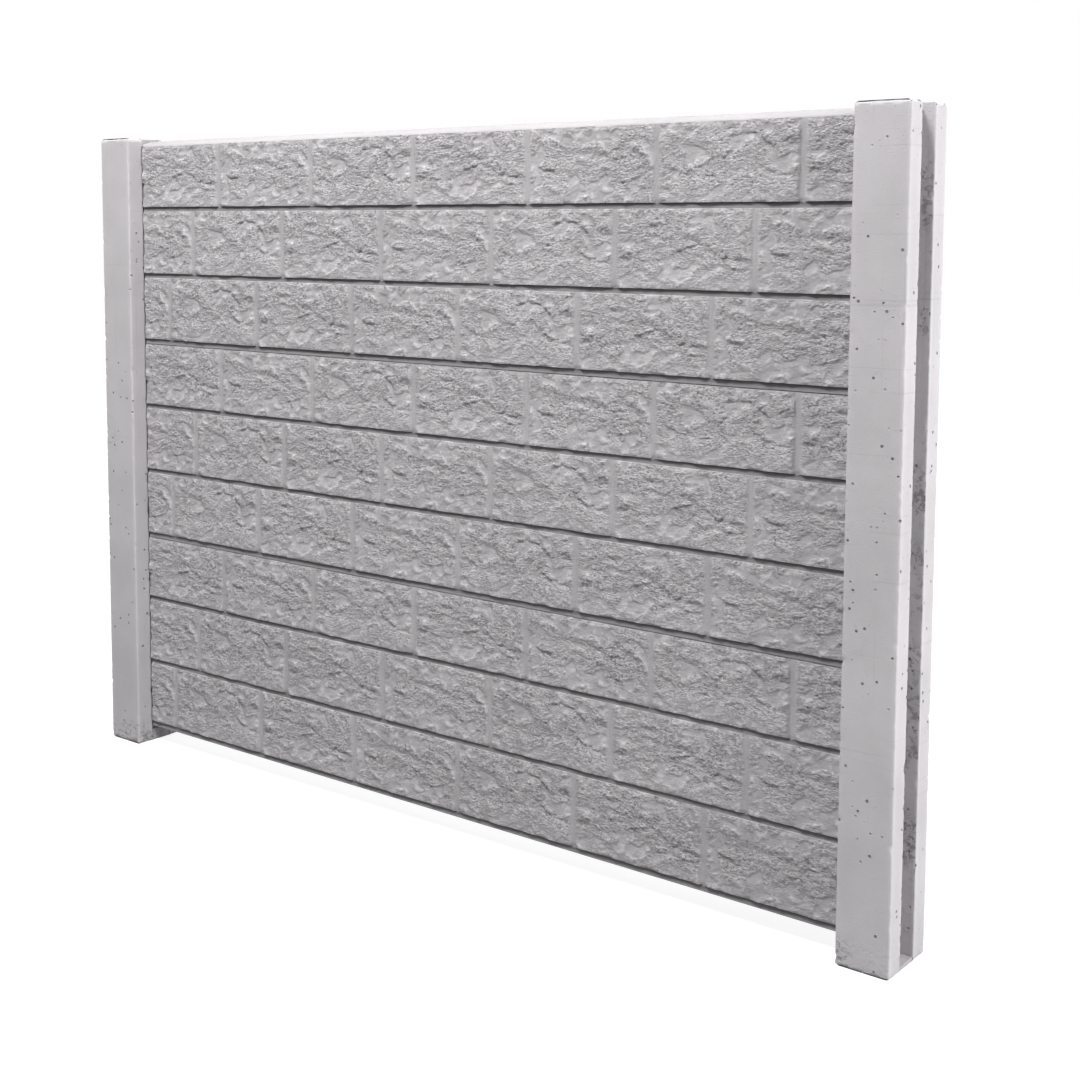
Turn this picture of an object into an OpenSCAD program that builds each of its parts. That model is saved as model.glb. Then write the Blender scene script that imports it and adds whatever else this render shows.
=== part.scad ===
// One bay of a precast concrete fence: two H-section posts with three rock-faced panels
// stacked in the grooves between them.
//
// Frame: +Z up, the fence runs along +X, and the rock face looks towards -Y.
// The origin is on the ground, at the centre of the left post's foot.

/* [Bay] */
// Clear distance between the facing sides of the two posts
clear_span = 2000; // [1500:10:2500]
// Gap left at each end of a panel, inside its groove
end_clearance = 4; // [2:1:8]

/* [Posts] */
// Width of a post, along the fence
post_width = 108; // [100:2:160]
// Depth of a post, across the fence
post_depth = 146; // [130:2:190]
// Height of a post that stands out of the ground
post_height = 1560; // [1200:5:2400]
// Width of the grooves that hold the panels
groove_width = 56; // [50:1:64]
// Depth of the grooves
groove_depth = 30; // [22:1:36]
// Chamfer along the upright edges of a post
arris_chamfer = 3; // [1:0.5:6]
// Chamfer around the top and the foot of a post
end_chamfer = 8; // [3:1:12]

/* [Seats] */
// Height of the seat that the bottom panel stands on, at the front of the slab
seat_height = 42; // [30:1:120]
// Height of the solid foot of a post, in front of and below the seat
ledge_height = 28; // [10:1:30]
// How far the seat stays back from the side of the post
seat_recess = 12; // [6:1:14]
// Height of the toe that closes the foot of a post's outer groove
toe_height = 9; // [8:1:30]

/* [Panels] */
// Height that one panel adds to the stack
panel_height = 500; // [350:5:560]
// Thickness of a panel's flat slab
slab_thickness = 44; // [36:1:48]
// How far the rock face stands out of the slab
face_relief = 12; // [8:1:20]
// How far the lapped edges of a panel climb, from the slab's front to its back
lap_rise = 14; // [6:1:20]
// Plain edge of the slab below the bottom course
bottom_margin = 13; // [6:1:20]

/* [Courses] */
// Height of the recessed bed joint between two courses of one panel
bed_joint = 8; // [5:1:16]
// Height of the sloping top of each block
block_slope = 4; // [2:0.5:7]
// Distance from one upright joint to the next
block_pitch = 318; // [240:2:420]
// Width of an upright joint, at its bottom
upright_joint = 8; // [5:1:14]
// How far each side of an upright joint splays out
joint_splay = 3; // [1:0.5:5]
// Layer of concrete left between an upright joint and the slab
joint_bed = 4; // [1:0.5:6]
// First upright joint in the bottom course, from the side of the left post
first_joint_bottom = 101; // [40:1:300]
// First upright joint in the middle course
first_joint_middle = 193; // [40:1:300]
// First upright joint in the top course
first_joint_top = 290; // [40:1:300]
// Gap between the rock face and the side of a post
face_clearance = 3; // [2:1:8]

/* [Hidden] */

COURSES = 3;
first_joints = [first_joint_bottom, first_joint_middle, first_joint_top];
eps = 1; // how far cutters pass through and fused solids sink in

half_width = post_width / 2;
half_depth = post_depth / 2;
half_groove = groove_width / 2;
bay_pitch = clear_span + post_width;

slab_front = -slab_thickness / 2;
slab_back = slab_thickness / 2;
face_plane = slab_front - face_relief;
panel_length = clear_span + 2 * (groove_depth - end_clearance);
face_start = half_width + face_clearance;
face_length = clear_span - 2 * face_clearance;
course_pitch = panel_height / COURSES;

post_grey = [0.74, 0.73, 0.74];
panel_grey = [0.62, 0.61, 0.62];

// Height of a panel's lapped edge at a place across the wall, from the slab's front.
function lap(y) = lap_rise * (y - slab_front) / slab_thickness;

// Height of a course's lower edge above the panel's foot.
function course_foot(course) = bottom_margin + course * course_pitch;

// Rectangle that is centred on one axis and stands on the other, with its corners cut off.
module cut_rectangle(width, height, cut) {
    polygon([
        [-width / 2 + cut, 0], [width / 2 - cut, 0],
        [width / 2, cut], [width / 2, height - cut],
        [width / 2 - cut, height], [-width / 2 + cut, height],
        [-width / 2, height - cut], [-width / 2, cut]
    ]);
}

// Plan of one groove, with the chamfered edges of its mouth.
module groove_plan(side) {
    mouth = side * half_width;
    polygon([
        [mouth - side * groove_depth, -half_groove],
        [mouth - side * arris_chamfer, -half_groove],
        [mouth + side * eps, -half_groove - arris_chamfer - eps],
        [mouth + side * eps, half_groove + arris_chamfer + eps],
        [mouth - side * arris_chamfer, half_groove],
        [mouth - side * groove_depth, half_groove]
    ]);
}

// Plan of a post: a rectangle with chamfered corners and a groove in each side.
module post_plan() {
    difference() {
        translate([0, -half_depth]) cut_rectangle(post_width, post_depth, arris_chamfer);
        for (side = [-1, 1]) groove_plan(side);
    }
}

// Block that fills a groove up to the given heights at its front and back walls.
// It reaches from the bottom of the groove to recess short of the side of the post.
module groove_fill(side, recess, front_height, back_height) {
    inner = half_width - groove_depth - eps;
    outer = half_width - recess;
    wall = half_groove + eps;
    translate([side > 0 ? inner : -outer, 0, 0]) rotate([90, 0, 90])
        linear_extrude(outer - inner)
            polygon([[-wall, 0], [wall, 0], [wall, back_height], [-wall, front_height]]);
}

// A post at the origin, with its seat towards side: 1 is +X and -1 is -X.
module post(side) {
    wall = half_groove + eps;
    intersection() {
        union() {
            linear_extrude(post_height) post_plan();
            groove_fill(side, arris_chamfer, ledge_height, ledge_height);
            groove_fill(side, seat_recess, seat_height + lap(-wall), seat_height + lap(wall));
            groove_fill(-side, arris_chamfer, toe_height, toe_height);
        }
        translate([0, half_depth, 0]) rotate([90, 0, 0])
            linear_extrude(post_depth) cut_rectangle(post_width, post_height, end_chamfer);
        translate([-half_width, 0, 0]) rotate([90, 0, 90])
            linear_extrude(post_width) cut_rectangle(post_depth, post_height, end_chamfer);
    }
}

// Section of the slab, whose lower and upper edges lap those of the panels below and above.
module slab_section() {
    polygon([
        [slab_front, 0], [slab_back, lap_rise],
        [slab_back, panel_height + lap_rise], [slab_front, panel_height]
    ]);
}

// Section of one course of blocks. The top course ends in the panel's lapped edge.
module course_section(course) {
    foot = course_foot(course);
    is_top = course == COURSES - 1;
    shoulder = is_top ? panel_height : course_foot(course + 1) - bed_joint;
    brow = is_top ? panel_height + lap(face_plane) : shoulder - block_slope;
    root = is_top ? panel_height + lap(slab_front + eps) : shoulder;
    polygon([
        [slab_front + eps, foot], [face_plane, foot], [face_plane, brow],
        [slab_front, shoulder], [slab_front + eps, root]
    ]);
}

// One upright joint, as the wedge that is cut out of a course.
module upright_joint_cut() {
    bed = slab_front - joint_bed;
    mouth = face_plane - eps;
    splay = joint_splay * (bed - mouth) / (bed - face_plane);
    translate([0, 0, -eps]) linear_extrude(panel_height + 2 * eps)
        polygon([
            [-upright_joint / 2, bed], [-upright_joint / 2 - splay, mouth],
            [upright_joint / 2 + splay, mouth], [upright_joint / 2, bed]
        ]);
}

// The blocks of one course, from the side of the left post to that of the right post.
module course(course) {
    last_joint = clear_span - upright_joint - 2 * joint_splay;
    difference() {
        translate([face_start, 0, 0]) rotate([90, 0, 90])
            linear_extrude(face_length) course_section(course);
        for (x = [first_joints[course] : block_pitch : last_joint])
            translate([half_width + x, 0, 0]) upright_joint_cut();
    }
}

// One panel, at its level in the stack: 0 is the bottom one.
module panel(level) {
    translate([0, 0, seat_height + level * panel_height]) {
        translate([half_width - groove_depth + end_clearance, 0, 0]) rotate([90, 0, 90])
            linear_extrude(panel_length) slab_section();
        for (i = [0 : COURSES - 1]) course(i);
    }
}

module left_post() { color(post_grey) post(1); }
module right_post() { color(post_grey) translate([bay_pitch, 0, 0]) post(-1); }
module bottom_panel() { color(panel_grey) panel(0); }
module middle_panel() { color(panel_grey) panel(1); }
module top_panel() { color(panel_grey) panel(2); }

left_post();
right_post();
bottom_panel();
middle_panel();
top_panel();
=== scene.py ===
"""One bay of a precast concrete fence: rock-faced panels stacked between two grooved posts."""

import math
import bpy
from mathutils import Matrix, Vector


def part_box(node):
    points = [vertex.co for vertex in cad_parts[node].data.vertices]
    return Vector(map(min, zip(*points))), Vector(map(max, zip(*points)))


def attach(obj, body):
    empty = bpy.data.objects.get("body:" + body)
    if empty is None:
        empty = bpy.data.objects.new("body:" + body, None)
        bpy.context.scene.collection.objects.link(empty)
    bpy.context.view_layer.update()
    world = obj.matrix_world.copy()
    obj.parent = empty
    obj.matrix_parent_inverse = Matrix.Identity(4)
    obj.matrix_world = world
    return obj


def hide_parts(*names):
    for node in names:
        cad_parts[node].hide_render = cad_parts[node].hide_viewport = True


bl_info = {
    "name": "Concrete Fence Bay",
    "version": (1, 0, 0),
    "blender": (4, 5, 0),
    "location": "3D View > Sidebar > Fence",
    "description": "Models the rock-faced panels and grooved posts of a precast concrete fence",
    "category": "Add Mesh",
}

import bpy
import numpy as np
from bpy.props import FloatProperty, FloatVectorProperty, PointerProperty
from mathutils import Matrix, Vector

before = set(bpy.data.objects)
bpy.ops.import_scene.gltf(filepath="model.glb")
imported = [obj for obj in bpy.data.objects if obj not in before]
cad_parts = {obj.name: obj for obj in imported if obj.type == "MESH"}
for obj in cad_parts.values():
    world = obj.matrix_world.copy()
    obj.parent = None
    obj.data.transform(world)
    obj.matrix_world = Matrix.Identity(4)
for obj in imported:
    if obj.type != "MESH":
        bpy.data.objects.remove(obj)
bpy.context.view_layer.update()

MM = 0.001
# Smallest distance that counts, in metres.
TINY = 1e-6
# Sharpest bend, in degrees, that still looks smooth on relief and on a slab.
RELIEF_BEND = 48
SLAB_BEND = 30
COURSES = 3
PANELS = ("bottom_panel", "middle_panel", "top_panel")
LEFT_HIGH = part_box("left_post")[1]
RIGHT_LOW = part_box("right_post")[0]
SLAB_LOW, SLAB_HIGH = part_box("bottom_panel")
STACK_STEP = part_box("middle_panel")[0].z - SLAB_LOW.z


# ---------------------------------------------------------------- settings

class FencePostSettings(bpy.types.PropertyGroup):
    groove_width: FloatProperty(
        name="Groove width", description="Width of the grooves that hold the panels",
        default=0.056, min=0.03, unit="LENGTH")
    groove_depth: FloatProperty(
        name="Groove depth", description="Depth of the grooves",
        default=0.030, min=0.01, unit="LENGTH")
    arris_radius: FloatProperty(
        name="Arris radius", description="Radius of the upright edges",
        default=0.003, min=0.0005, unit="LENGTH")
    end_radius: FloatProperty(
        name="End radius", description="Radius of the edges around the top and the foot",
        default=0.007, min=0.001, unit="LENGTH")
    seat_height: FloatProperty(
        name="Seat height", description="Height of the seat under the bottom panel",
        default=SLAB_LOW.z, min=0.01, unit="LENGTH")
    seat_recess: FloatProperty(
        name="Seat recess", description="How far the seat stays back from the side of the post",
        default=0.012, min=0.001, unit="LENGTH")
    ledge_height: FloatProperty(
        name="Ledge height", description="Height of the solid foot below the seat",
        default=0.028, min=0.005, unit="LENGTH")
    toe_height: FloatProperty(
        name="Toe height", description="Height of the toe at the foot of the outer groove",
        default=0.009, min=0.005, unit="LENGTH")
    ring_step: FloatProperty(
        name="Ring step", description="Distance from one ring of the mesh to the next",
        default=0.0052, min=0.002, unit="LENGTH")
    outline_step: FloatProperty(
        name="Outline step", description="Distance between points around the post",
        default=0.0050, min=0.002, unit="LENGTH")


class FencePanelSettings(bpy.types.PropertyGroup):
    slab_thickness: FloatProperty(
        name="Slab thickness", description="Thickness of the flat slab behind the rock face",
        default=0.044, min=0.02, unit="LENGTH")
    lap_rise: FloatProperty(
        name="Lap rise", description="How far the lapped edges climb through the slab",
        default=0.014, min=0.0, unit="LENGTH")
    bottom_margin: FloatProperty(
        name="Bottom margin", description="Plain edge of the slab below the bottom course",
        default=0.013, min=0.002, unit="LENGTH")
    bed_joint: FloatProperty(
        name="Bed joint", description="Height of the recessed joint between two courses",
        default=0.008, min=0.002, unit="LENGTH")
    block_slope: FloatProperty(
        name="Block slope", description="Height of the sloping top of each block",
        default=0.004, min=0.001, unit="LENGTH")
    block_pitch: FloatProperty(
        name="Block pitch", description="Distance from one upright joint to the next",
        default=0.318, min=0.1, unit="LENGTH")
    upright_joint: FloatProperty(
        name="Upright joint", description="Width of an upright joint, at its bottom",
        default=0.008, min=0.002, unit="LENGTH")
    first_joint_bottom: FloatProperty(
        name="First joint, bottom course", description="From the side of the left post",
        default=0.101, min=0.02, unit="LENGTH")
    first_joint_middle: FloatProperty(
        name="First joint, middle course", description="From the side of the left post",
        default=0.193, min=0.02, unit="LENGTH")
    first_joint_top: FloatProperty(
        name="First joint, top course", description="From the side of the left post",
        default=0.290, min=0.02, unit="LENGTH")
    face_clearance: FloatProperty(
        name="Face clearance", description="Gap between the rock face and the side of a post",
        default=0.003, min=0.0, unit="LENGTH")
    mortar_relief: FloatProperty(
        name="Mortar relief", description="How far the joints stand out of the slab",
        default=0.0055, min=0.001, unit="LENGTH")
    cove_relief: FloatProperty(
        name="Cove relief", description="How much further the joints stand out at their foot",
        default=0.0012, min=0.0, unit="LENGTH")
    slit_height: FloatProperty(
        name="Slit height", description="Height of the slit under the foot of each course",
        default=0.0012, min=0.0005, unit="LENGTH")
    slit_depth: FloatProperty(
        name="Slit depth", description="Depth of the slit under the foot of each course",
        default=0.0028, min=0.0005, unit="LENGTH")
    slab_bevel: FloatProperty(
        name="Slab bevel", description="Worn edge of the slab",
        default=0.0012, min=0.0002, unit="LENGTH")
    column_step: FloatProperty(
        name="Column step", description="Distance between columns of the relief mesh",
        default=0.0038, min=0.002, unit="LENGTH")
    row_step: FloatProperty(
        name="Row step", description="Distance between rows of the relief mesh",
        default=0.0023, min=0.001, unit="LENGTH")


class FenceFinishSettings(bpy.types.PropertyGroup):
    post_color: FloatVectorProperty(
        name="Post colour", description="Smooth cast concrete of the posts",
        subtype="COLOR", default=(0.470, 0.455, 0.470), min=0.0, max=1.0)
    panel_color: FloatVectorProperty(
        name="Panel colour", description="Concrete of the rock-faced panels",
        subtype="COLOR", default=(0.440, 0.427, 0.440), min=0.0, max=1.0)
    # Painted shade for air pits and deep cavities.
    pit_shade_color: FloatVectorProperty(
        name="Pit shade colour", description="Air pits and deep cavities",
        subtype="COLOR", default=(0.10, 0.098, 0.104), min=0.0, max=1.0)


class FenceStageSettings(bpy.types.PropertyGroup):
    floor_size: FloatProperty(
        name="Floor size", description="Side of the pale floor",
        default=60.0, min=5.0, unit="LENGTH")
    camera_place: FloatVectorProperty(
        name="Camera place", description="Where the camera stands",
        subtype="TRANSLATION", default=(3.333, -2.604, 1.331))
    camera_heading: FloatProperty(
        name="Camera heading", description="Turn to the left of the camera's view, from +Y",
        subtype="ANGLE", default=0.6605)
    camera_pitch: FloatProperty(
        name="Camera pitch", description="Tilt of the camera's view below the level",
        subtype="ANGLE", default=0.0920)
    camera_roll: FloatProperty(
        name="Camera roll", description="Turn of the camera around its view",
        subtype="ANGLE", default=0.0050)
    lens: FloatProperty(
        name="Lens", description="Focal length for a frame 36 mm wide",
        default=52.83, min=10.0)
    lens_shift: FloatProperty(
        name="Lens shift", description="Vertical shift of the lens, as a share of the frame",
        default=-0.15)


# ---------------------------------------------------------------- noise

def gradient_noise(x, y, seed):
    """Smooth noise between about -1 and 1 that changes over one unit of x and y."""
    cells = 64
    angle = np.random.default_rng(seed).random((cells, cells)) * 2 * math.pi
    lean_x = np.cos(angle)
    lean_y = np.sin(angle)
    column = np.floor(x).astype(int)
    row = np.floor(y).astype(int)
    part_x = x - column
    part_y = y - row

    def corner(step_x, step_y):
        i = (column + step_x) % cells
        j = (row + step_y) % cells
        return lean_x[i, j] * (part_x - step_x) + lean_y[i, j] * (part_y - step_y)

    fade_x = part_x**3 * (part_x * (part_x * 6 - 15) + 10)
    fade_y = part_y**3 * (part_y * (part_y * 6 - 15) + 10)
    low = corner(0, 0) * (1 - fade_x) + corner(1, 0) * fade_x
    high = corner(0, 1) * (1 - fade_x) + corner(1, 1) * fade_x
    return 1.4 * (low * (1 - fade_y) + high * fade_y)


def fractal_noise(x, y, size, octaves, seed, gain=0.5):
    """Sum of noise at halving sizes, each turned against the last."""
    total = np.zeros_like(x, dtype=float)
    turn_cos, turn_sin = math.cos(0.9), math.sin(0.9)
    weight, whole = 1.0, 0.0
    px, py = x / size, y / size
    for octave in range(octaves):
        total += weight * gradient_noise(px + 17.3 * octave, py - 9.1 * octave, seed + octave)
        whole += weight
        weight *= gain
        px, py = 2 * (px * turn_cos - py * turn_sin), 2 * (px * turn_sin + py * turn_cos)
    return total / whole


def ramp(value, low, high):
    """Smooth step from 0 at low to 1 at high."""
    t = np.clip((value - low) / (high - low), 0.0, 1.0)
    return t * t * (3 - 2 * t)


def box_blur(grid, reach):
    """Mean of the neighbours within reach, along both axes of a grid."""
    for axis in (0, 1):
        pad = [(0, 0), (0, 0)]
        pad[axis] = (reach + 1, reach)
        total = np.cumsum(np.pad(grid, pad, mode="edge"), axis=axis)
        span = 2 * reach + 1
        size = grid.shape[axis]
        upper = np.take(total, range(span, span + size), axis=axis)
        lower = np.take(total, range(0, size), axis=axis)
        grid = (upper - lower) / span
    return grid


# ---------------------------------------------------------------- mesh helpers

def deselect_all():
    """Object mode with nothing selected."""
    if bpy.context.object and bpy.context.object.mode != "OBJECT":
        bpy.ops.object.mode_set(mode="OBJECT")
    bpy.ops.object.select_all(action="DESELECT")


def named(name):
    """Names the active object and its mesh, and puts its place in the mesh."""
    piece = bpy.context.object
    piece.name = name
    piece.data.name = name
    bpy.ops.object.transform_apply(location=True, rotation=True, scale=True)
    return piece


def wrapped_grid(name, places, marks):
    """Closed tube through rings of points. places is [ring point, section, xyz]."""
    around, along = places.shape[:2]
    deselect_all()
    bpy.ops.mesh.primitive_grid_add(x_subdivisions=along - 1, y_subdivisions=around, size=1.0)
    piece = named(name)
    closed = np.concatenate([places, places[:1]]).reshape(-1, 3)
    piece.data.vertices.foreach_set("co", closed.astype(np.float32).ravel())
    for mark, values in marks.items():
        layer = piece.data.attributes.new(mark, "FLOAT", "POINT")
        ringed = np.concatenate([values, values[:1]]).ravel()
        layer.data.foreach_set("value", ringed.astype(np.float32))
    bpy.ops.object.mode_set(mode="EDIT")
    bpy.ops.mesh.select_all(action="SELECT")
    bpy.ops.mesh.remove_doubles(threshold=TINY)
    bpy.ops.mesh.fill_holes(sides=0)
    bpy.ops.mesh.select_all(action="SELECT")
    bpy.ops.mesh.normals_make_consistent(inside=False)
    bpy.ops.object.mode_set(mode="OBJECT")
    bpy.ops.object.shade_smooth_by_angle(angle=math.radians(RELIEF_BEND))
    return piece


def finished(piece, node, material):
    """Puts a finished piece in place of a CAD node."""
    piece.data.materials.clear()
    piece.data.materials.append(material)
    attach(piece, "root")
    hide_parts(node)


# ---------------------------------------------------------------- rock face

# Ledges of the three blocks that the mould repeats. Each is a broken edge, as points from the
# block's left foot in shares of its width and height, with the drop below it and its reach in mm.
BLOCK_LEDGES = {
    "ridge": (
        (((0.40, 0.44), (0.52, 0.53), (0.62, 0.57), (0.69, 0.54), (0.76, 0.43), (0.84, 0.39),
          (0.95, 0.38)), 2.9, 13),
        (((0.24, 0.80), (0.34, 0.82), (0.50, 0.74)), 1.5, 8),
        (((0.14, 0.62), (0.24, 0.67), (0.36, 0.62)), 1.5, 9),
        (((0.74, 0.31), (0.84, 0.28), (0.98, 0.27)), 1.7, 8),
        (((0.02, 0.38), (0.12, 0.42), (0.24, 0.34), (0.36, 0.38)), 1.8, 10),
        (((0.52, 0.27), (0.60, 0.30), (0.70, 0.22)), 1.2, 8),
    ),
    "arc": (
        (((0.48, 0.76), (0.53, 0.83), (0.60, 0.86), (0.68, 0.84), (0.75, 0.77), (0.81, 0.67)), 2.8, 15),
        (((0.68, 0.52), (0.77, 0.40), (0.88, 0.35), (0.98, 0.30)), 2.2, 11),
        (((0.06, 0.46), (0.18, 0.38), (0.32, 0.40), (0.44, 0.31)), 1.9, 11),
        (((0.10, 0.78), (0.20, 0.83), (0.30, 0.76)), 1.3, 8),
        (((0.46, 0.60), (0.52, 0.62), (0.58, 0.57)), 1.2, 8),
    ),
    "rough": (
        (((0.03, 0.56), (0.12, 0.48), (0.24, 0.46)), 2.4, 12),
        (((0.34, 0.66), (0.46, 0.73), (0.54, 0.68)), 1.9, 10),
        (((0.60, 0.64), (0.70, 0.58), (0.84, 0.62)), 1.9, 10),
        (((0.42, 0.38), (0.58, 0.34), (0.74, 0.27), (0.86, 0.31)), 1.6, 10),
        (((0.62, 0.84), (0.74, 0.80), (0.90, 0.83)), 1.3, 8),
    ),
}
# Which block fills each place along a course, from the left post, in the courses from the bottom.
COURSE_BLOCKS = (
    ("rough", "arc", "ridge"),
    ("rough", "arc", "ridge"),
    ("ridge", "rough", "arc"),
)
# Usual, least and greatest height of the stone above the slab, in mm.
STONE_MEAN, STONE_LOW, STONE_HIGH = 8.9, 3.8, 12.4
# Difference in height from the stone around it, in mm, that makes full painted shade in a dip or a full
# painted highlight on a high point.
SHADE_AND_HIGHLIGHT_SCALE = 0.9
# How deep a course is sunk into its slab.
SINK = 1.5 * MM
# A block's top drops by the block slope over the first of these, and its face ends at the second.
SLOPE_REACH = 9 * MM
FACE_REACH = 9.5 * MM
# Rows of the mesh over the top of a course.
TOP_ROWS = 4


def ledge_relief(along, up, width, height, ledges, seed):
    """Drops below broken edges, in mm: sheer at the edge and fading out under it."""
    total = np.zeros_like(along)
    for number, (line, drop, reach) in enumerate(ledges):
        share, level = np.array(line).T
        jag = fractal_noise(along, up * 0.5, 21, 4, seed + 7 * number, 0.75)
        edge = np.interp(along / width, share, level) * height + 10.0 * jag
        ends = ramp(along / width, share[0] - 0.02, share[0] + 0.05)
        ends *= 1 - ramp(along / width, share[-1] - 0.05, share[-1] + 0.03)
        under = edge - up
        sheer = ramp(under, -0.8, 1.2)
        ends *= 0.35 + 0.65 * ramp(gradient_noise(along / 17, up / 30, seed + 3 * number), -0.5, 0.1)
        total -= drop * ends * sheer * np.exp(-np.maximum(under, 0) / (0.55 * reach))
        total += 0.25 * drop * ends * (1 - sheer) * np.exp(np.minimum(under, 0) / 9)
    return total


def flake_relief(along, up, size, seed):
    """Flakes of split stone, as shares of their full step: gentle on top and sheer below."""
    warp = fractal_noise(along, up, 1.7 * size, 4, seed, 0.68)
    phase = up / size + 1.9 * warp + along / (9 * size)
    step = phase - np.floor(phase)
    tooth = np.where(step < 0.12, ramp(step, 0.0, 0.12), 1 - ramp(step, 0.12, 1.0))
    strength = 0.25 + 0.75 * ramp(fractal_noise(along, up, 1.5 * size, 2, seed + 20), -0.25, 0.35)
    return strength * (tooth - 0.4)


def block_relief(along, up, width, height, kind, seed):
    """Height of a block's split face above its own mean, in mm, and its share of rough face."""
    swell = 2.2 * fractal_noise(along, up * 1.3, 105, 2, seed + 40)
    facets = 5.2 * np.abs(fractal_noise(along + 0.5 * up, up * 1.5, 74, 3, seed + 50)) - 1.1
    facets -= 4.0 * np.abs(fractal_noise(along - 0.6 * up, up * 1.4, 52, 3, seed + 55)) - 0.8
    smooth = ramp(fractal_noise(along, up, 52, 2, seed + 60), 0.10, 0.34)
    smooth = np.maximum(smooth, 0.55 * (1 - ramp(up / height, 0.10, 0.26)))
    rough = 1.0 - 0.85 * smooth
    slant = up * 1.25 - 0.35 * along
    grain = 1.15 * fractal_noise(along, slant, 15, 3, seed + 70, 0.8)
    grit = 0.75 * gradient_noise(along / 7.6, up / 4.6, seed + 80)
    grit += 0.30 * np.random.default_rng(seed + 85).uniform(-1, 1, along.shape)
    ledges = ledge_relief(along, up, width, height, BLOCK_LEDGES[kind], seed + 90)
    flakes = 1.5 * flake_relief(along, up, 31, seed + 30) * (1 - 0.6 * smooth)
    flakes += 0.8 * flake_relief(along, up, 10, seed + 35) * rough
    return swell + facets + ledges + flakes + rough * (grain + grit), rough


def course_relief(along, up, course, height, settings):
    """A course's height above the slab in mm, its height without joints, the share of block
    against joint, and the share of rough face, at places along the fence and up."""
    pitch = settings.block_pitch / MM
    first = (settings.first_joint_bottom, settings.first_joint_middle,
             settings.first_joint_top)[course] / MM
    place = np.floor((along - first) / pitch).astype(int) + 1
    start = first + (place - 1) * pitch
    total = np.zeros_like(along)
    rough = np.zeros_like(along)
    kinds = COURSE_BLOCKS[course]
    for turn, kind in enumerate(kinds):
        here = place % len(kinds) == turn
        seed = 100 * (1 + sorted(BLOCK_LEDGES).index(kind))
        total[here], rough[here] = block_relief(
            (along - start)[here], up[here], pitch, height, kind, seed)
    share = up / height
    total += 2.3 * (1 - ramp(share, 0.08, 0.45)) + 1.1 * ramp(share, 0.45, 0.8) - 0.9
    to_joint = np.minimum(along - start, start + pitch - along)
    wander = 1.6 * gradient_noise(along / 40, up / 26, 5 + course)
    half_joint = settings.upright_joint / MM / 2
    body = ramp(to_joint + wander, half_joint - 1.0, half_joint + 8.0)
    brow = 1 - 0.16 * (1 - ramp(height - up, 0, 6))
    foot_wear = 0.06 + 0.16 * ramp(gradient_noise(along / 55, up * 0, 60 + course), 0.0, 0.7)
    foot = 1 - foot_wear * (1 - ramp(up, 0, 5))
    stone = np.clip(STONE_MEAN + total, STONE_LOW, STONE_HIGH) * brow * foot
    bed = settings.mortar_relief / MM + 1.7 * ramp(up, 0, 7)
    bed -= 0.5 * (1 - ramp(height - up, 0, 7))
    bed += 0.25 * gradient_noise(along / 9, up / 14, 9)
    return bed + (stone - bed) * body, stone, body, rough * body


def bed_band(x, arris, low, slab_front, body, settings):
    """Rows of the coved joint below a course, up to a slit under the arris of its blocks, each with its
    painted shade: deepening towards the slit and deepest in it where a block overhangs.
    """
    wander = 0.25 * MM * gradient_noise(x / MM / 60, x * 0, 71)
    slit_foot = arris - settings.slit_height
    rows = [(slab_front + SINK + 0 * x, low + 0 * x, -0.3 + 0 * x)]
    # Painted shade over the cove, deepening towards the arris above, where the shade falls.
    for share, painted_shade_and_highlight in ((0.0, -0.40), (0.25, -0.46), (0.5, -0.54), (0.75, -0.66), (1.0, -0.85)):
        cove = settings.mortar_relief + settings.cove_relief * (1 - share) ** 2
        rows.append((slab_front - cove - wander, low + (slit_foot - low) * share, painted_shade_and_highlight + 0 * x))
    plane = rows[-1][0]
    slit = plane + settings.slit_depth * body
    # Painted shade in the slit under the arris, full where a block stands over it and light at the upright
    # joints.
    fade = 0.72 + 0.28 * gradient_noise(x / MM / 140, x * 0, 72)
    dark = -0.1 - 0.85 * body * fade
    rows.append((slit, slit_foot, dark))
    rows.append((slit, arris, dark))
    rows.append(((slit + plane) / 2, arris, dark))
    return [np.array([row[turn] for row in rows]) for turn in range(3)]


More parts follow.
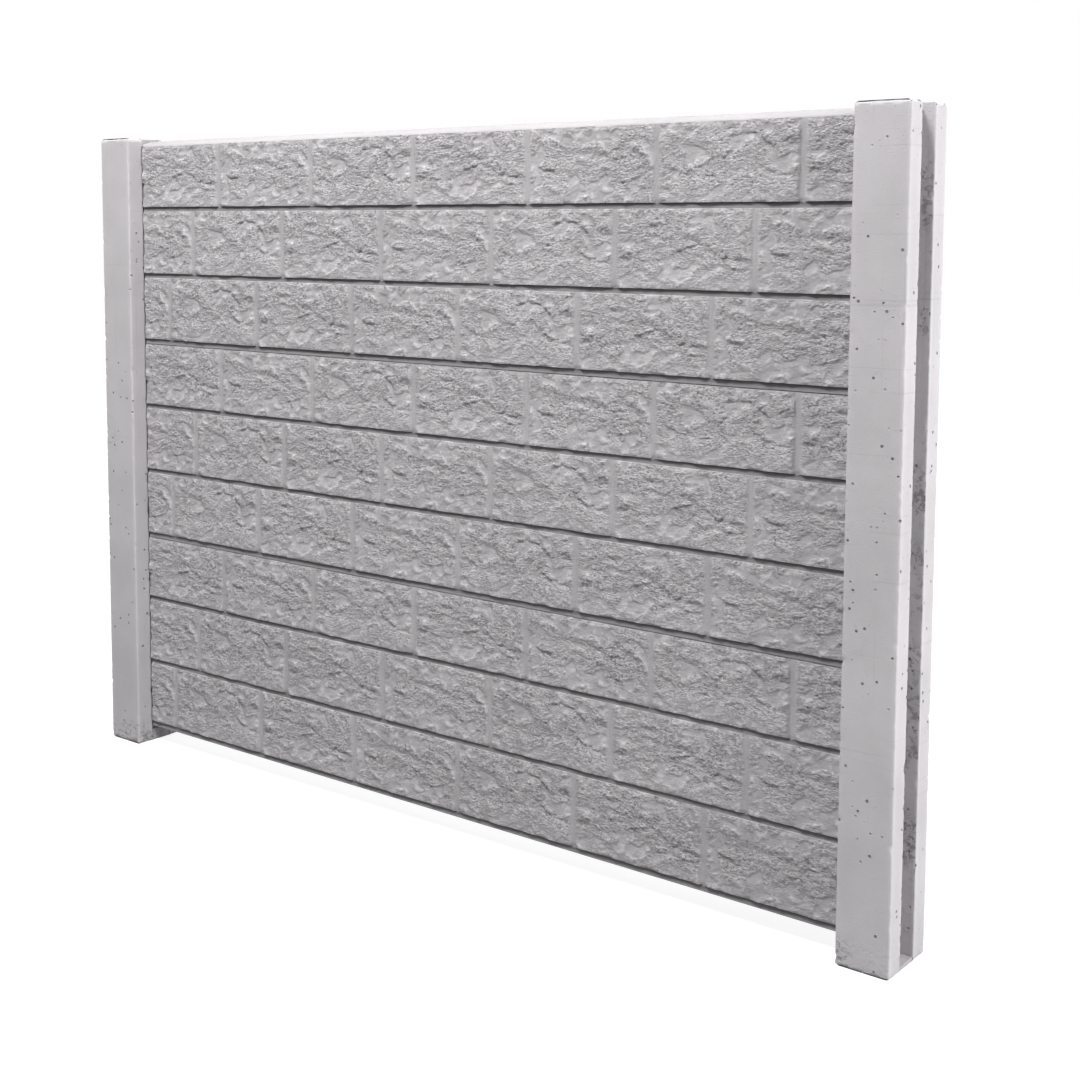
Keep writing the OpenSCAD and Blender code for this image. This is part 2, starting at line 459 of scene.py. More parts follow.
def carve_course(name, level, course, settings):
    """One course of blocks as a closed strip with its relief, sunk a little into the slab."""
    slab_front = SLAB_HIGH.y - settings.slab_thickness
    pitch_up = STACK_STEP / COURSES
    panel_foot = SLAB_LOW.z + level * STACK_STEP
    foot = panel_foot + settings.bottom_margin + course * pitch_up
    is_top = course == COURSES - 1
    band = settings.bottom_margin if course == 0 else settings.bed_joint
    if is_top:
        shoulder = panel_foot + STACK_STEP
        lean = settings.lap_rise / settings.slab_thickness
    else:
        shoulder = foot + pitch_up - settings.bed_joint
        lean = settings.block_slope / SLOPE_REACH
    start = LEFT_HIGH.x + settings.face_clearance
    end = RIGHT_LOW.x - settings.face_clearance
    columns = round((end - start) / settings.column_step)
    x = np.linspace(start, end, columns)
    face_height = shoulder - foot - FACE_REACH * lean
    rows = round(face_height / settings.row_step)
    up = np.linspace(0, face_height, rows)
    grid_up, grid_x = np.meshgrid(up, x, indexing="ij")
    along = (grid_x - LEFT_HIGH.x) / MM
    relief, stone, body, rough = course_relief(along, grid_up / MM, course, face_height / MM, settings)
    relief *= MM
    wave = 0.35 * MM * gradient_noise(x / MM / 70, x * 0, 33 + course)
    front = slab_front - relief
    z = foot + grid_up + wave * (1 - grid_up / face_height)
    over = np.linspace(0, 1, TOP_ROWS + 1)[1:, None]
    top_y = front[-1] + (slab_front + SINK - front[-1]) * over
    if is_top:
        top_z = shoulder + (top_y - slab_front) * lean
        z[-1] = shoulder + (front[-1] - slab_front) * lean
    else:
        top_z = z[-1] + (shoulder - z[-1]) * over
    band_foot = foot - band - (0.9 * settings.block_slope if course else 0)
    band_y, band_z, band_shade = bed_band(x, z[0], band_foot, slab_front, body[0], settings)
    ring_y = np.concatenate([band_y, front, top_y])
    ring_z = np.concatenate([band_z, z, top_z])
    ring_x = np.repeat(x[None, :], len(ring_y), axis=0)
    # Painted shade in the dips of the stone and painted highlight on its high points, from how far each
    # point lies below or above the stone around it.
    near = stone - box_blur(stone, 1)
    wide = stone - box_blur(stone, 8)
    painted_shade_and_highlight = np.clip((1.7 * near + 0.42 * wide) / SHADE_AND_HIGHLIGHT_SCALE, -1, 1) * body
    # Painted highlight along the top arris of the course, as if it caught the light from above.
    edge = ramp(face_height - grid_up, 3.2 * MM, 0.8 * MM) * (0.5 + 0.5 * body)
    painted_shade_and_highlight = np.maximum(painted_shade_and_highlight, edge * (0.75 + 0.25 * gradient_noise(along / 30, along * 0, 14)))
    # Painted shade on the joint below, shade and highlight on the face, and light painted shade over the
    # course's top.
    marks = {"painted_shade_and_highlight": np.concatenate([band_shade, painted_shade_and_highlight, 0 * top_y - 0.25]),
             "rough": np.concatenate([0 * band_y, rough, 0 * top_y])}
    return wrapped_grid(name, np.stack([ring_x, ring_y, ring_z], axis=-1), marks)


# ---------------------------------------------------------------- slabs

def cast_slab(name, node, settings):
    """Flat slab of a panel, with lapped edges above and below."""
    low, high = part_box(node)
    front = SLAB_HIGH.y - settings.slab_thickness
    size = Vector((high.x - low.x, settings.slab_thickness, STACK_STEP))
    centre = Vector(((low.x + high.x) / 2, front + size.y / 2, low.z + size.z / 2))
    deselect_all()
    bpy.ops.mesh.primitive_cube_add(size=1.0, location=centre)
    bpy.context.object.scale = size
    slab = named(name)
    for vertex in slab.data.vertices:
        if vertex.co.y > centre.y:
            vertex.co.z += settings.lap_rise
    bevel = slab.modifiers.new("Worn edges", "BEVEL")
    bevel.width = settings.slab_bevel
    bevel.segments = 2
    bpy.ops.object.modifier_apply(modifier=bevel.name)
    bpy.ops.object.shade_smooth_by_angle(angle=math.radians(SLAB_BEND))
    return slab


# ---------------------------------------------------------------- posts

# Depth of the grooves in the solid foot of a post, and the rise of each step above it.
FOOT_GROOVE = 3 * MM
STEP_RISE = 0.4 * MM
# Reach of the tiny bevel in the inner corners of a groove.
SHARP_REACH = 0.6 * MM
# How far the wear of an arris spreads, and how high the foot's lower edge is chipped.
WEAR_REACH = 4 * MM
LIP_HEIGHT = 4 * MM
# A post's end closes as strips from its outline to a narrow copy of it on its middle line.
CAP_WIDTH = 0.02


def post_outline(settings, half_width, half_depth):
    """Points around a post seen from above, anticlockwise, with rounded arrises.
    Each point also has its outward direction, its groove (-1, 0 or 1) and an arris share."""
    half_groove = settings.groove_width / 2
    depth = settings.groove_depth
    radius = settings.arris_radius
    # Corners of the right half, from the front to the back: place and whether it is rounded.
    right = [
        ((half_width, -half_depth), True), ((half_width, -half_groove), True),
        ((half_width - depth, -half_groove), False), ((half_width - depth, half_groove), False),
        ((half_width, half_groove), True), ((half_width, half_depth), True),
    ]
    left = [((-x, y), is_round) for (x, y), is_round in reversed(right)]
    corners = right + left
    points = []
    count = len(corners)
    for i, (place, is_round) in enumerate(corners):
        here = Vector(place)
        before = Vector(corners[i - 1][0])
        after = Vector(corners[(i + 1) % count][0])
        next_round = corners[(i + 1) % count][1]
        inward, outward = (before - here).normalized(), (after - here).normalized()
        reach = radius if is_round else SHARP_REACH
        start, end = here + inward * reach, here + outward * reach
        for step in range(4):
            t = step / 3
            bend = start.lerp(here, t).lerp(here.lerp(end, t), t)
            points.append((bend, 1.0 if is_round else 0.0))
        next_reach = radius if next_round else SHARP_REACH
        goal = after - outward * next_reach
        length = (goal - end).length
        pieces = max(2, round(length / settings.outline_step))
        for step in range(1, pieces):
            gap = min(step, pieces - step) * length / pieces
            near_round = is_round if step <= pieces / 2 else next_round
            share = math.exp(-gap / WEAR_REACH) if near_round else 0.0
            points.append((end.lerp(goal, step / pieces), share))
    place = np.array([tuple(p) for p, _ in points])
    arris = np.array([a for _, a in points])
    ahead = np.roll(place, -1, axis=0) - np.roll(place, 1, axis=0)
    normal = np.stack([ahead[:, 1], -ahead[:, 0]], axis=-1)
    normal /= np.linalg.norm(normal, axis=1, keepdims=True)
    inside = (np.abs(place[:, 1]) < half_groove + TINY) & (np.abs(place[:, 0]) < half_width - radius * 0.9)
    groove = np.where(inside, np.sign(place[:, 0]), 0.0)
    return place, normal, groove, arris


def post_levels(settings, height):
    """Heights of a post's rings, with the depth of its inner and outer groove at each."""
    full = settings.groove_depth
    low = [settings.toe_height, settings.ledge_height, settings.seat_height]
    stops = [0.0] + low + [height]
    levels = []
    for below, above in zip(stops, stops[1:]):
        count = max(2, round((above - below) / settings.ring_step))
        levels += [(below + (above - below) * k / count, k == 0 and below > 0) for k in range(count)]
    levels.append((height, False))
    rings = []
    for level, is_step in levels:
        inner = FOOT_GROOVE if level < settings.ledge_height - TINY else (
            settings.seat_recess if level < settings.seat_height - TINY else full)
        outer = FOOT_GROOVE if level < settings.toe_height - TINY else full
        if is_step:
            rings.append((level, rings[-1][1], rings[-1][2]))
            rings.append((level + STEP_RISE, inner, outer))
        else:
            rings.append((level, inner, outer))
    return np.array(rings)


def post_wear(place_x, place_y, level, arris, seed):
    """How much concrete is missing from a post's skin, in metres."""
    around = (place_x + 0.6 * place_y) / MM
    up = level / MM
    chips = ramp(fractal_noise(around, up, 26, 3, seed), 0.20, 0.62)
    nibble = ramp(gradient_noise(around / 7, up / 9, seed + 5), 0.15, 0.8)
    wear = arris * (2.6 * chips + 0.8 * nibble)
    base = 1 - ramp(up, 20, 75)
    rough_foot = base * (0.9 * np.abs(fractal_noise(around, up, 17, 4, seed + 9, 0.6)))
    waves = 0.25 * fractal_noise(around * 0.4, up, 120, 2, seed + 12)
    return (wear + 1.6 * rough_foot + waves * (1 - arris)) * MM


def nearest_skin(groove):
    """For each point round a post, the nearest point that isn't in a groove."""
    outside = np.flatnonzero(groove == 0)
    gaps = np.abs(np.arange(len(groove))[:, None] - outside[None, :])
    gaps = np.minimum(gaps, len(groove) - gaps)
    return outside[np.argmin(gaps, axis=1)]


def cast_post(name, node, seat_side, seed, settings):
    """One grooved post with worn arrises, a rough foot and rounded ends."""
    low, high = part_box(node)
    half_width = (high.x - low.x) / 2
    half_depth = (high.y - low.y) / 2
    centre = (low + high) / 2
    height = high.z - low.z
    place, normal, groove, arris = post_outline(settings, half_width, half_depth)
    rings = post_levels(settings, height)
    level = rings[:, 0][None, :]
    x = np.repeat(place[:, :1], len(rings), axis=1)
    y = np.repeat(place[:, 1:], len(rings), axis=1)
    side = groove[:, None] * seat_side
    depth = np.where(side > 0, rings[:, 1][None, :], rings[:, 2][None, :])
    share = (half_width - np.abs(x)) / settings.groove_depth
    filled = np.sign(x) * (half_width - depth * share)
    x = np.where(groove[:, None] != 0, filled, x)
    wear = post_wear(x, y, level + 0 * x, arris[:, None] + 0 * x, seed)
    radius = settings.end_radius
    to_end = np.minimum(level, height - level)
    turn = np.clip(1 - to_end / radius, 0, 1)
    round_in = radius * (1 - np.sqrt(np.clip(1 - turn**2, 0, 1)))
    wobble = 0.75 + 0.5 * ramp(fractal_noise((x + y) / MM, 0 * x, 34, 2, seed + 3), -0.5, 0.5)
    skin = (groove[:, None] == 0)
    inset = wear + np.where(skin, round_in * wobble, 0.3 * round_in)
    beside = nearest_skin(groove)
    reach_out = half_width - inset[beside] * np.abs(normal[beside, :1])
    inset = np.where(skin, inset, np.minimum(inset, 0.4 * MM))
    x = np.where(skin, x, np.clip(x, -reach_out, reach_out))
    px = centre.x + x - normal[:, :1] * inset
    py = centre.y + y - normal[:, 1:] * inset
    drop = 2.0 * MM * ramp(gradient_noise((x - y) / MM / 30, 0 * x, seed + 8), 0.1, 0.8)
    top_wear = drop * ramp(level, height - radius, height) * (0.3 + 0.7 * arris[:, None])
    top_wear *= level < height - 0.1 * MM
    low_lip = ramp(-level, -LIP_HEIGHT, 0.0) * arris[:, None]
    lift = 0.6 * MM * np.abs(gradient_noise((x + y) / MM / 12, 0 * x, seed + 4)) * low_lip
    pz = low.z + level + 0 * x - top_wear + lift
    places = np.stack([px, py, pz], axis=-1)
    caps = places[:, [0, -1]].copy()
    caps[..., 0] = centre.x + CAP_WIDTH * (caps[..., 0] - centre.x)
    places = np.concatenate([caps[:, :1], places, caps[:, 1:]], axis=1)
    blank = np.zeros(places.shape[:2])
    # Groove mask: painted shade in the grooves and where crust gathers; zero on the end caps.
    marks = {"arris": arris[:, None] * ((places[..., 2] > low.z) & (places[..., 2] < high.z)),
             "groove_shade_and_crust": (groove[:, None] != 0) + blank}
    marks["groove_shade_and_crust"][:, [0, -1]] = 0
    return wrapped_grid(name, places, marks)


# ---------------------------------------------------------------- shader groups

def new_group(name, inputs, outputs):
    """Empty shader group with float inputs, given by name and default, and its outputs."""
    group = bpy.data.node_groups.new(name, "ShaderNodeTree")
    group.interface.new_socket("Vector", in_out="INPUT", socket_type="NodeSocketVector")
    for label, value in inputs:
        socket = group.interface.new_socket(label, in_out="INPUT", socket_type="NodeSocketFloat")
        socket.default_value = value
    for label in outputs:
        group.interface.new_socket(label, in_out="OUTPUT", socket_type="NodeSocketFloat")
    return group, group.nodes.new("NodeGroupInput"), group.nodes.new("NodeGroupOutput")


def add_node(tree, kind, values=None, **settings):
    """A node with its settings and the values of its inputs."""
    node = tree.nodes.new(kind)
    for key, value in settings.items():
        setattr(node, key, value)
    for socket, value in (values or {}).items():
        node.inputs[socket].default_value = value
    return node


def math_node(tree, operation, first, second):
    """Output of a math node whose inputs are numbers or outputs."""
    node = add_node(tree, "ShaderNodeMath", operation=operation)
    for socket, value in zip(node.inputs, (first, second)):
        if isinstance(value, (int, float)):
            socket.default_value = value
        else:
            tree.links.new(value, socket)
    return node.outputs[0]


def map_range(tree, value, low, high, out_low=0.0, out_high=1.0, smooth=True):
    """Output that runs from out_low to out_high as value runs from low to high."""
    node = add_node(tree, "ShaderNodeMapRange", interpolation_type="SMOOTHSTEP" if smooth else "LINEAR")
    tree.links.new(value, node.inputs["Value"])
    for label, bound in (("From Min", low), ("From Max", high), ("To Min", out_low), ("To Max", out_high)):
        if isinstance(bound, (int, float)):
            node.inputs[label].default_value = bound
        else:
            tree.links.new(bound, node.inputs[label])
    return node.outputs[0]


def noise_node(tree, vector, scale, detail=2.0, rough=0.5):
    """Noise between 0 and 1, with scale as its count of features in a metre."""
    node = add_node(tree, "ShaderNodeTexNoise", {"Scale": scale, "Detail": detail, "Roughness": rough})
    tree.links.new(vector, node.inputs["Vector"])
    return node.outputs["Fac"]


def cement_mottle_group():
    """Cloudy tone of cast concrete, from -1 to 1, and its fine sand speckle."""
    tree, given, result = new_group("Cement mottle", [("Cloud Size", 0.2)], ["Cloud", "Speckle"])
    scale = add_node(tree, "ShaderNodeVectorMath", operation="SCALE")
    tree.links.new(given.outputs["Vector"], scale.inputs[0])
    tree.links.new(math_node(tree, "DIVIDE", 1.0, given.outputs["Cloud Size"]), scale.inputs["Scale"])
    cloud = noise_node(tree, scale.outputs[0], 1.0, 5.0, 0.55)
    tree.links.new(map_range(tree, cloud, 0.3, 0.7, -1.0, 1.0, False), result.inputs["Cloud"])
    speckle = noise_node(tree, given.outputs["Vector"], 620.0, 3.0, 0.7)
    tree.links.new(map_range(tree, speckle, 0.3, 0.7, -1.0, 1.0, False), result.inputs["Speckle"])
    return tree


def air_pit_group():
    """Pits that air bubbles leave in cast concrete: a mask that is 1 in the pit."""
    tree, given, result = new_group("Air pits", [("Density", 45.0), ("Radius", 0.11)], ["Pit"])
    cells = add_node(tree, "ShaderNodeTexVoronoi", feature="F1")
    tree.links.new(given.outputs["Vector"], cells.inputs["Vector"])
    tree.links.new(given.outputs["Density"], cells.inputs["Scale"])
    inner = math_node(tree, "MULTIPLY", given.outputs["Radius"], 0.55)
    pit = map_range(tree, cells.outputs["Distance"], inner, given.outputs["Radius"], 1.0, 0.0)
    crowd = noise_node(tree, given.outputs["Vector"], 7.0, 1.0)
    where = map_range(tree, crowd, 0.40, 0.52)
    tree.links.new(math_node(tree, "MULTIPLY", pit, where), result.inputs["Pit"])
    return tree


def casting_group():
    """Traces of the mould: level and upright streaks, crusted blotches, and the rough foot."""
    tree, given, result = new_group("Casting traces", [], ["Streak", "Crust", "Foot"])
    streaks = []
    for stretch, low in (((3.0, 3.0, 150.0), 0.66), ((150.0, 150.0, 2.2), 0.63)):
        along = add_node(tree, "ShaderNodeVectorMath", operation="MULTIPLY")
        along.inputs[1].default_value = stretch
        tree.links.new(given.outputs["Vector"], along.inputs[0])
        noise = noise_node(tree, along.outputs["Vector"], 1.0, 2.0)
        streaks.append(map_range(tree, noise, low, low + 0.08))
    tree.links.new(math_node(tree, "MAXIMUM", *streaks), result.inputs["Streak"])
    crust = noise_node(tree, given.outputs["Vector"], 85.0, 4.0, 0.7)
    patch = noise_node(tree, given.outputs["Vector"], 9.0, 2.0)
    where = map_range(tree, patch, 0.42, 0.60, 0.15, 1.0)
    blotch = math_node(tree, "MULTIPLY", map_range(tree, crust, 0.50, 0.62), where)
    tree.links.new(blotch, result.inputs["Crust"])
    split = add_node(tree, "ShaderNodeSeparateXYZ")
    tree.links.new(given.outputs["Vector"], split.inputs[0])
    tree.links.new(map_range(tree, split.outputs["Z"], 0.075, 0.015), result.inputs["Foot"])
    return tree


def painted_top_light_group():
    """Share of a surface that faces up, for painted top light: tops made lighter as if lit from above."""
    tree, _, result = new_group("Painted top light", [], ["Top"])
    geometry = add_node(tree, "ShaderNodeNewGeometry")
    split = add_node(tree, "ShaderNodeSeparateXYZ")
    tree.links.new(geometry.outputs["Normal"], split.inputs[0])
    tree.links.new(map_range(tree, split.outputs["Z"], 0.15, 0.9), result.inputs["Top"])
    return tree


def use_group(tree, group, vector, **values):
    """Outputs of a shared group at a place."""
    node = add_node(tree, "ShaderNodeGroup")
    node.node_tree = group
    tree.links.new(vector, node.inputs["Vector"])
    for label, value in values.items():
        node.inputs[label.replace("_", " ")].default_value = value
    return node.outputs


def attribute(tree, name):
    """A value that the mesh carries at its points."""
    return add_node(tree, "ShaderNodeAttribute", attribute_name=name).outputs["Fac"]


def tint(tree, color, factor, target, amount=1.0):
    """Mixes a colour towards target by an amount times a factor that changes over the surface."""
    mix = add_node(tree, "ShaderNodeMix", data_type="RGBA")
    if isinstance(color, tuple):
        mix.inputs[6].default_value = color
    else:
        tree.links.new(color, mix.inputs[6])
    mix.inputs[7].default_value = target
    if amount != 1.0:
        factor = math_node(tree, "MULTIPLY", factor, amount)
    tree.links.new(factor, mix.inputs[0])
    return mix.outputs[2]


def weighted(tree, terms):
    """Sum of outputs, each times its weight."""
    total = None
    for output, weight in terms:
        part = math_node(tree, "MULTIPLY", output, weight)
        total = part if total is None else math_node(tree, "ADD", total, part)
    return total


def rgba(color, factor=1.0):
    """A colour made lighter or darker, kept within range."""
    return tuple(min(1.0, channel * factor) for channel in color) + (1.0,)


def cast_tone(tree, mottle, base, cloud, speckle, spread):
    """The base colour, drifting lighter and darker with the clouds and the speckle."""
    drift = weighted(tree, [(mottle["Cloud"], cloud), (mottle["Speckle"], speckle)])
    tone = map_range(tree, drift, -1.0, 1.0)
    return tint(tree, rgba(base, 1 - spread), tone, rgba(base, 1 + spread))


def new_material(name):
    """A material, its tree, its main shader and the place on the object."""
    material = bpy.data.materials.new(name)
    material.use_nodes = True
    tree = material.node_tree
    shader = tree.nodes["Principled BSDF"]
    coordinates = add_node(tree, "ShaderNodeTexCoord").outputs["Object"]
    return material, tree, shader, coordinates


def finish_surface(tree, shader, color, rough, height, strength, distance):
    """Joins colour, roughness and bump to the main shader."""
    bump = add_node(tree, "ShaderNodeBump", {"Strength": strength, "Distance": distance})
    tree.links.new(height, bump.inputs["Height"])
    tree.links.new(bump.outputs["Normal"], shader.inputs["Normal"])
    tree.links.new(color, shader.inputs["Base Color"])
    tree.links.new(rough, shader.inputs["Roughness"])
    shader.inputs["Specular IOR Level"].default_value = 0.25


def post_material(groups, finish):
    """Smooth cast concrete with clouds, air pits and pale worn arrises, painted shade in its pits and
    grooves, and painted light on faces turned up.
    """
    material, tree, shader, place = new_material("Post_concrete")
    mottle = use_group(tree, groups["mottle"], place, Cloud_Size=0.16)
    pits = use_group(tree, groups["pits"], place, Density=44.0, Radius=0.15)
    small = use_group(tree, groups["pits"], place, Density=110.0, Radius=0.10)
    top = use_group(tree, groups["top_light"], place)
    base = finish.post_color
    marks = use_group(tree, groups["casting"], place)
    # Groove mask, for painted shade in the grooves and for crust.
    groove_shade_and_crust = attribute(tree, "groove_shade_and_crust")
    crust = math_node(tree, "MULTIPLY", marks["Crust"], math_node(tree, "MAXIMUM", groove_shade_and_crust, marks["Foot"]))
    pit = math_node(tree, "MAXIMUM", pits["Pit"], math_node(tree, "MULTIPLY", small["Pit"], 0.8))
    color = cast_tone(tree, mottle, base, 0.8, 0.35, 0.07)
    color = tint(tree, color, attribute(tree, "arris"), rgba(base, 1.35), 0.22)
    # Painted top light: faces turned up are made lighter, as if lit from above.
    color = tint(tree, color, top["Top"], rgba(base, 1.25), 0.25)
    color = tint(tree, color, marks["Streak"], rgba(base, 0.45), 0.16)
    # Painted shade: the grooves darkened as if shaded by their flanges.
    color = tint(tree, color, groove_shade_and_crust, rgba(base, 0.45), 0.12)
    color = tint(tree, color, crust, rgba(base, 0.3), 0.55)
    # Painted shade in the air pits.
    color = tint(tree, color, pit, rgba(finish.pit_shade_color), 0.8)
    height = weighted(tree, [(pit, -1.0), (crust, -0.7), (mottle["Speckle"], 0.06),
                             (mottle["Cloud"], 0.05)])
    rough = map_range(tree, mottle["Cloud"], -1.0, 1.0, 0.78, 0.9)
    finish_surface(tree, shader, color, rough, height, 0.9, 0.003)
    return material


def panel_material(groups, finish):
    """Split-faced concrete with painted shade in the dips of its relief, painted highlight on its high
    points, and painted top light.
    """
    material, tree, shader, place = new_material("Panel_concrete")
    mottle = use_group(tree, groups["mottle"], place, Cloud_Size=0.24)
    pits = use_group(tree, groups["pits"], place, Density=95.0, Radius=0.12)
    top = use_group(tree, groups["top_light"], place)
    base = finish.panel_color
    painted_shade_and_highlight = attribute(tree, "painted_shade_and_highlight")
    rough_share = attribute(tree, "rough")
    # Painted highlight from the high points and painted shade from the dips, the slits and the joints.
    high = map_range(tree, painted_shade_and_highlight, 0.15, 1.0, 0.0, 0.55)
    deep = map_range(tree, painted_shade_and_highlight, -0.05, -0.75, 0.0, 0.85)
    color = cast_tone(tree, mottle, base, 0.6, 0.5, 0.10)
    color = tint(tree, color, high, rgba(base, 1.55))
    color = tint(tree, color, deep, rgba(base, 0.25))
    # Painted top light: faces turned up are made lighter, as if lit from above.
    color = tint(tree, color, top["Top"], rgba(base, 1.4), 0.2)
    # Painted shade in the air pits.
    color = tint(tree, color, pits["Pit"], rgba(finish.pit_shade_color), 0.5)
    chip = add_node(tree, "ShaderNodeVectorMath", operation="MULTIPLY")
    chip.inputs[1].default_value = (0.75, 1.0, 1.35)
    tree.links.new(place, chip.inputs[0])
    crumb = noise_node(tree, chip.outputs["Vector"], 185.0, 3.0, 0.7)
    patch = noise_node(tree, place, 17.0, 2.0)
    patchy = math_node(tree, "MULTIPLY", rough_share, map_range(tree, patch, 0.38, 0.60, 0.35, 1.0))
    # Painted shade in the dips of the crumb and painted highlight on its peaks, from the same noise that
    # raises its bump.
    dark_crumb = map_range(tree, crumb, 0.47, 0.34, 0.0, 0.85)
    pale_crumb = map_range(tree, crumb, 0.54, 0.68, 0.0, 0.75)
    dark = math_node(tree, "MULTIPLY", dark_crumb, patchy)
    pale = math_node(tree, "MULTIPLY", pale_crumb, patchy)
    color = tint(tree, color, dark, rgba(base, 0.38))
    color = tint(tree, color, pale, rgba(base, 1.6))
    crumble = math_node(tree, "MULTIPLY", crumb, math_node(tree, "MAXIMUM", rough_share, 0.08))
    height = weighted(tree, [(crumble, 1.0), (mottle["Speckle"], 0.06), (pits["Pit"], -0.3)])
    rough = map_range(tree, mottle["Cloud"], -1.0, 1.0, 0.82, 0.93)
    finish_surface(tree, shader, color, rough, height, 1.0, 0.0080)
    return material


def shared_groups():
    """The shader groups, made once."""
    makers = {"mottle": ("Cement mottle", cement_mottle_group),
              "pits": ("Air pits", air_pit_group),
              "casting": ("Casting traces", casting_group),
              "top_light": ("Painted top light", painted_top_light_group)}
    return {key: bpy.data.node_groups.get(name) or make() for key, (name, make) in makers.items()}


def finish_named(name, make):
    """A material of this name, made on first use."""
    finish = bpy.context.scene.fence_finish
    return bpy.data.materials.get(name) or make(shared_groups(), finish)


# ---------------------------------------------------------------- operators

class FENCE_OT_posts(bpy.types.Operator):
    """Cast both grooved posts"""
    bl_idname = "fence.posts"
    bl_label = "Posts"

    def execute(self, context):
        settings = context.scene.fence_post
        material = finish_named("Post_concrete", post_material)
        for node, seat_side, seed in (("left_post", 1, 11), ("right_post", -1, 47)):
            piece = cast_post(node + "_casting", node, seat_side, seed, settings)
            finished(piece, node, material)
        return {"FINISHED"}


class FENCE_OT_slabs(bpy.types.Operator):
    """Cast the flat slab of each panel"""
    bl_idname = "fence.slabs"
    bl_label = "Slabs"

    def execute(self, context):
        settings = context.scene.fence_panel
        material = finish_named("Panel_concrete", panel_material)
        for node in PANELS:
            piece = cast_slab(node + "_slab", node, settings)
            finished(piece, node, material)
        return {"FINISHED"}


class FENCE_OT_courses(bpy.types.Operator):
    """Carve the rock-faced courses of each panel"""
    bl_idname = "fence.courses"
    bl_label = "Courses"

    def execute(self, context):
        settings = context.scene.fence_panel
        material = finish_named("Panel_concrete", panel_material)
        for level, node in enumerate(PANELS):
            for course, place in enumerate(("low", "middle", "high")):
                piece = carve_course(f"{node}_{place}_course", level, course, settings)
                finished(piece, node, material)
        return {"FINISHED"}


class FENCE_OT_stage(bpy.types.Operator):
    """Set the floor, the lights and the camera"""
    bl_idname = "fence.stage"
    bl_label = "Stage"

    def execute(self, context):
        stage = context.scene.fence_stage
        lay_floor(stage)
        light_studio()
        place_camera(stage)
        context.scene.view_settings.view_transform = "Standard"
        return {"FINISHED"}


# ---------------------------------------------------------------- stage

MIDDLE = (1.05, 0.0, 0.8)
# Soft lights: place, target, size, power in watts and colour.
LAMPS = {
    "overhead": ((0.6, -1.85, 4.9), MIDDLE, 1.3, 305.0, (1.0, 0.99, 0.985)),
    "right": ((5.9, -0.3, 2.0), (2.1, 0.0, 0.8), 2.4, 228.0, (1.0, 0.995, 0.99)),
    "behind": ((0.3, 4.6, 2.6), MIDDLE, 3.0, 130.0, (1.0, 1.0, 1.0)),
}
# The floor's own tone, and its glow from near the fence to far from it.
FLOOR_TONE = (0.34, 0.34, 0.34, 1.0)
GLOW_DISTANCES = (1.8, 6.0)
GLOW_STRENGTHS = (0.80, 0.97)
SOFT_SKY = (0.97, 0.98, 1.0, 1.0)
WHITE = (1.0, 1.0, 1.0, 1.0)


def lay_floor(stage):
    """Pale floor that the camera sees as white, with the shadow kept, and that bounces little light."""
    deselect_all()
    bpy.ops.mesh.primitive_plane_add(size=stage.floor_size, location=(1.0, 0.0, 0.0))
    floor = named("floor")
    material = bpy.data.materials.new("Floor")
    material.use_nodes = True
    tree = material.node_tree
    tree.nodes.clear()
    output = add_node(tree, "ShaderNodeOutputMaterial")
    matt = add_node(tree, "ShaderNodeBsdfDiffuse", {"Color": FLOOR_TONE})
    glow = add_node(tree, "ShaderNodeEmission", {"Color": WHITE})
    place = add_node(tree, "ShaderNodeTexCoord").outputs["Object"]
    distance = add_node(tree, "ShaderNodeVectorMath", operation="LENGTH")
    tree.links.new(place, distance.inputs[0])
    far = map_range(tree, distance.outputs["Value"], *GLOW_DISTANCES, *GLOW_STRENGTHS)
    path = add_node(tree, "ShaderNodeLightPath")
    tree.links.new(math_node(tree, "MULTIPLY", path.outputs["Is Camera Ray"], far), glow.inputs["Strength"])
    both = add_node(tree, "ShaderNodeAddShader")
    tree.links.new(matt.outputs[0], both.inputs[0])
    tree.links.new(glow.outputs[0], both.inputs[1])
    tree.links.new(both.outputs[0], output.inputs["Surface"])
    floor.data.materials.append(material)


def add_area_light(name, place, target, size, power, color):
    """Round soft light at a place, turned to a target."""
    deselect_all()
    bpy.ops.object.light_add(type="AREA", location=place)
    lamp = bpy.context.object
    lamp.name = name
    lamp.data.shape = "DISK"
    lamp.data.size = size
    lamp.data.energy = power
    lamp.data.color = color
    lamp.rotation_euler = (Vector(target) - Vector(place)).to_track_quat("-Z", "Y").to_euler()


def light_studio():
    """A key light from above, one from the right, one behind, and a soft white world."""
    for name, values in LAMPS.items():
        add_area_light(name, *values)
    world = bpy.context.scene.world or bpy.data.worlds.new("Studio")
    bpy.context.scene.world = world
    world.use_nodes = True
    tree = world.node_tree
    tree.nodes.clear()
    output = add_node(tree, "ShaderNodeOutputWorld")
    soft = add_node(tree, "ShaderNodeBackground", {"Color": SOFT_SKY, "Strength": 0.28})
    white = add_node(tree, "ShaderNodeBackground", {"Color": WHITE, "Strength": 1.0})
    path = add_node(tree, "ShaderNodeLightPath")
    seen = math_node(tree, "MAXIMUM", path.outputs["Is Camera Ray"], path.outputs["Is Glossy Ray"])
    mix = add_node(tree, "ShaderNodeMixShader")
    tree.links.new(seen, mix.inputs[0])
    tree.links.new(soft.outputs[0], mix.inputs[1])
    tree.links.new(white.outputs[0], mix.inputs[2])
    tree.links.new(mix.outputs[0], output.inputs["Surface"])


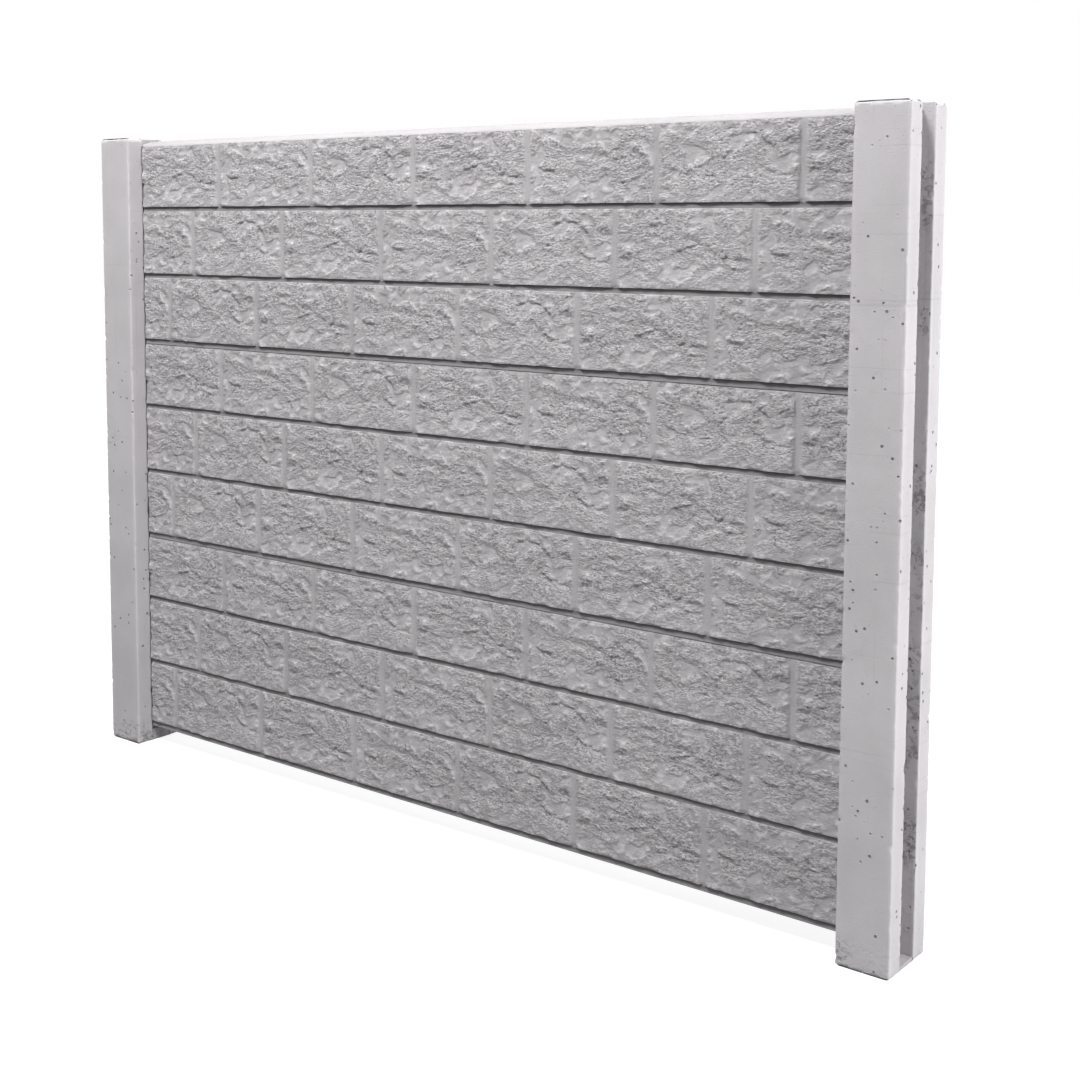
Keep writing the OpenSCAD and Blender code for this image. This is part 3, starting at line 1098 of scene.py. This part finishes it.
def place_camera(stage):
    """The camera that shows the rock face from the right."""
    deselect_all()
    bpy.ops.object.camera_add(location=stage.camera_place)
    camera = bpy.context.object
    camera.name = "camera"
    turn = Matrix.Rotation(stage.camera_heading, 4, "Z")
    tilt = Matrix.Rotation(math.pi / 2 - stage.camera_pitch, 4, "X")
    roll = Matrix.Rotation(stage.camera_roll, 4, "Z")
    camera.rotation_euler = (turn @ tilt @ roll).to_euler()
    camera.data.sensor_width = 36.0
    camera.data.lens = stage.lens
    camera.data.shift_y = stage.lens_shift
    camera.data.clip_end = 200.0
    bpy.context.scene.camera = camera


# ---------------------------------------------------------------- panel and main

class FENCE_PT_bay(bpy.types.Panel):
    """Lists the operators that build the bay"""
    bl_idname = "FENCE_PT_bay"
    bl_label = "Concrete Fence Bay"
    bl_space_type = "VIEW_3D"
    bl_region_type = "UI"
    bl_category = "Fence"

    def draw(self, context):
        layout = self.layout
        for operator in (FENCE_OT_posts, FENCE_OT_slabs, FENCE_OT_courses, FENCE_OT_stage):
            layout.operator(operator.bl_idname)
        for group in SETTINGS:
            values = getattr(context.scene, group)
            box = layout.box()
            for name in values.__annotations__:
                box.prop(values, name)


CLASSES = (
    FencePostSettings, FencePanelSettings, FenceFinishSettings, FenceStageSettings,
    FENCE_OT_posts, FENCE_OT_slabs, FENCE_OT_courses, FENCE_OT_stage, FENCE_PT_bay,
)
SETTINGS = {
    "fence_post": FencePostSettings,
    "fence_panel": FencePanelSettings,
    "fence_finish": FenceFinishSettings,
    "fence_stage": FenceStageSettings,
}


def register():
    for cls in CLASSES:
        bpy.utils.register_class(cls)
    for name, group in SETTINGS.items():
        setattr(bpy.types.Scene, name, PointerProperty(type=group))


def unregister():
    for name in SETTINGS:
        delattr(bpy.types.Scene, name)
    for cls in reversed(CLASSES):
        bpy.utils.unregister_class(cls)


def main():
    register()
    bpy.ops.fence.stage()
    bpy.ops.fence.posts()
    bpy.ops.fence.slabs()
    bpy.ops.fence.courses()


if __name__ == "__main__":
    main()
